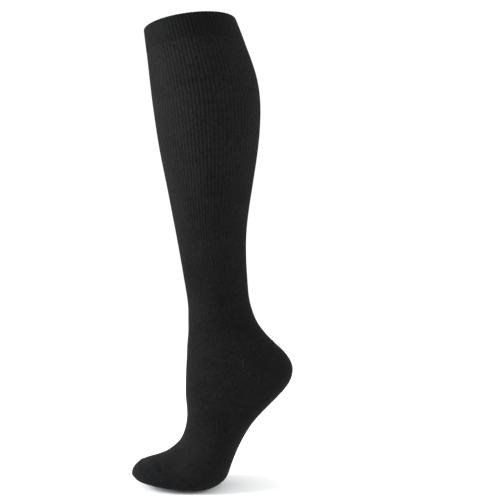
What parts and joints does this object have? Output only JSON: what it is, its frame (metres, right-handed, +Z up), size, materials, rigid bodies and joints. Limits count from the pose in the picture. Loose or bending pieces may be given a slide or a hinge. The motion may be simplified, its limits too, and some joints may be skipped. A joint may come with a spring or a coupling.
{
  "type": "compression stocking",
  "caption": "Knee-high compression stocking, hollow and filled out as worn with the heel raised: doubled ribbed welt, ribbed leg, turned heel pocket, foot and closed toe.",
  "frame": {"origin": "centre of the open top, in the plane of the welt's top edge, where the wearer's leg goes in and holds the stocking up", "axes": "+Z up the leg, +X towards the heel, -X towards the toes, Y across the leg; the -Y and +Y sides are alike"},
  "size_m": [0.1739, 0.1156, 0.5027],
  "materials": {
    "welt_knit": "doubled black nylon and elastane rib, matt",
    "leg_knit": "black nylon and elastane rib, matt with a soft sheen at grazing angles",
    "pocket_knit": "dense black plain knit, plated with a reinforcing yarn"
  },
  "bodies": {
    "root": {"welt": "welt_knit", "leg_top": "leg_knit", "leg_calf": "leg_knit", "leg_shin": "leg_knit", "leg_ankle": "leg_knit", "foot_instep": "leg_knit", "foot_ball": "leg_knit", "heel": "pocket_knit", "toe": "pocket_knit", "toe_seam": "pocket_knit"}
  },
  "joints": []
}
